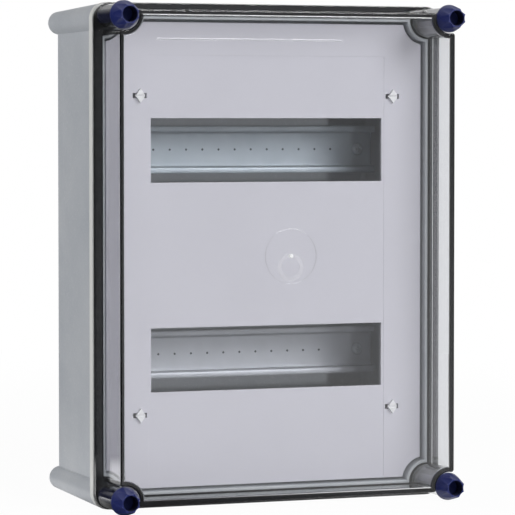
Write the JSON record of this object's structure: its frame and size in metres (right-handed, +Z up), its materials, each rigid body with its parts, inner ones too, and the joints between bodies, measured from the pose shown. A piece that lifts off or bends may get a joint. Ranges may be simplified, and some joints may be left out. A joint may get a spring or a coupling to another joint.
{
  "type": "din rail enclosure",
  "caption": "Wall enclosure for rail-mounted modular devices: moulded grey base, clear lift-off cover with blue corner screws, slotted inner front plate and top-hat rails.",
  "frame": {"origin": "middle of the base's back face, in the plane of the wall", "axes": "+X to the right as seen from the front, +Y into the wall, +Z up the wall"},
  "size_m": [0.27, 0.1605, 0.36],
  "materials": {
    "glass_polyester": "moulded glass-reinforced polyester, fine grain",
    "clear_polycarbonate": "clear, glossy",
    "grey_plastic": "smooth, matt",
    "blue_polyamide": "satin",
    "natural_polyamide": "satin",
    "black_rubber": "matt",
    "zinc_steel": "zinc plated, bluish",
    "brass": "turned"
  },
  "bodies": {
    "base": {"base_tub": "glass_polyester", "cover_seal": "black_rubber", "front_plate": "grey_plastic", "rail_upper": "zinc_steel", "rail_lower": "zinc_steel", "column_insert_top_left": "brass", "plate_post_top_left": "natural_polyamide", "rail_standoff_top_left": "natural_polyamide", "rail_screw_top_left": "zinc_steel", "column_insert_top_right": "brass", "plate_post_top_right": "natural_polyamide", "rail_standoff_top_right": "natural_polyamide", "rail_screw_top_right": "zinc_steel", "column_insert_bottom_left": "brass", "plate_post_bottom_left": "natural_polyamide", "rail_standoff_bottom_left": "natural_polyamide", "rail_screw_bottom_left": "zinc_steel", "column_insert_bottom_right": "brass", "plate_post_bottom_right": "natural_polyamide", "rail_standoff_bottom_right": "natural_polyamide", "rail_screw_bottom_right": "zinc_steel"},
    "cover": {"cover": "clear_polycarbonate"},
    "screw_top_left": {"cover_screw_top_left": "blue_polyamide", "screw_stud_top_left": "zinc_steel", "screw_washer_top_left": "black_rubber"},
    "screw_top_right": {"cover_screw_top_right": "blue_polyamide", "screw_stud_top_right": "zinc_steel", "screw_washer_top_right": "black_rubber"},
    "screw_bottom_left": {"cover_screw_bottom_left": "blue_polyamide", "screw_stud_bottom_left": "zinc_steel", "screw_washer_bottom_left": "black_rubber"},
    "screw_bottom_right": {"cover_screw_bottom_right": "blue_polyamide", "screw_stud_bottom_right": "zinc_steel", "screw_washer_bottom_right": "black_rubber"},
    "fastener_top_left": {"plate_fastener_top_left": "natural_polyamide"},
    "fastener_top_right": {"plate_fastener_top_right": "natural_polyamide"},
    "fastener_bottom_left": {"plate_fastener_bottom_left": "natural_polyamide"},
    "fastener_bottom_right": {"plate_fastener_bottom_right": "natural_polyamide"}
  },
  "joints": [
    {"name": "cover_lift", "type": "slide", "parent": "base", "child": "cover", "axis": [0, -1, 0], "range_m": [0, 0.06]},
    {"name": "screw_turn_top_left", "type": "hinge", "parent": "cover", "child": "screw_top_left", "pos_m": [-0.125, -0.1465, 0.17], "axis": [0, -1, 0], "continuous": true},
    {"name": "screw_turn_top_right", "type": "hinge", "parent": "cover", "child": "screw_top_right", "pos_m": [0.125, -0.1465, 0.17], "axis": [0, -1, 0], "continuous": true},
    {"name": "screw_turn_bottom_left", "type": "hinge", "parent": "cover", "child": "screw_bottom_left", "pos_m": [-0.125, -0.1465, -0.17], "axis": [0, -1, 0], "continuous": true},
    {"name": "screw_turn_bottom_right", "type": "hinge", "parent": "cover", "child": "screw_bottom_right", "pos_m": [0.125, -0.1465, -0.17], "axis": [0, -1, 0], "continuous": true},
    {"name": "fastener_turn_top_left", "type": "hinge", "parent": "base", "child": "fastener_top_left", "pos_m": [-0.0985, -0.105, 0.114], "axis": [0, -1, 0], "range_deg": [0, 90]},
    {"name": "fastener_turn_top_right", "type": "hinge", "parent": "base", "child": "fastener_top_right", "pos_m": [0.0985, -0.105, 0.114], "axis": [0, -1, 0], "range_deg": [0, 90]},
    {"name": "fastener_turn_bottom_left", "type": "hinge", "parent": "base", "child": "fastener_bottom_left", "pos_m": [-0.0985, -0.105, -0.114], "axis": [0, -1, 0], "range_deg": [0, 90]},
    {"name": "fastener_turn_bottom_right", "type": "hinge", "parent": "base", "child": "fastener_bottom_right", "pos_m": [0.0985, -0.105, -0.114], "axis": [0, -1, 0], "range_deg": [0, 90]}
  ]
}
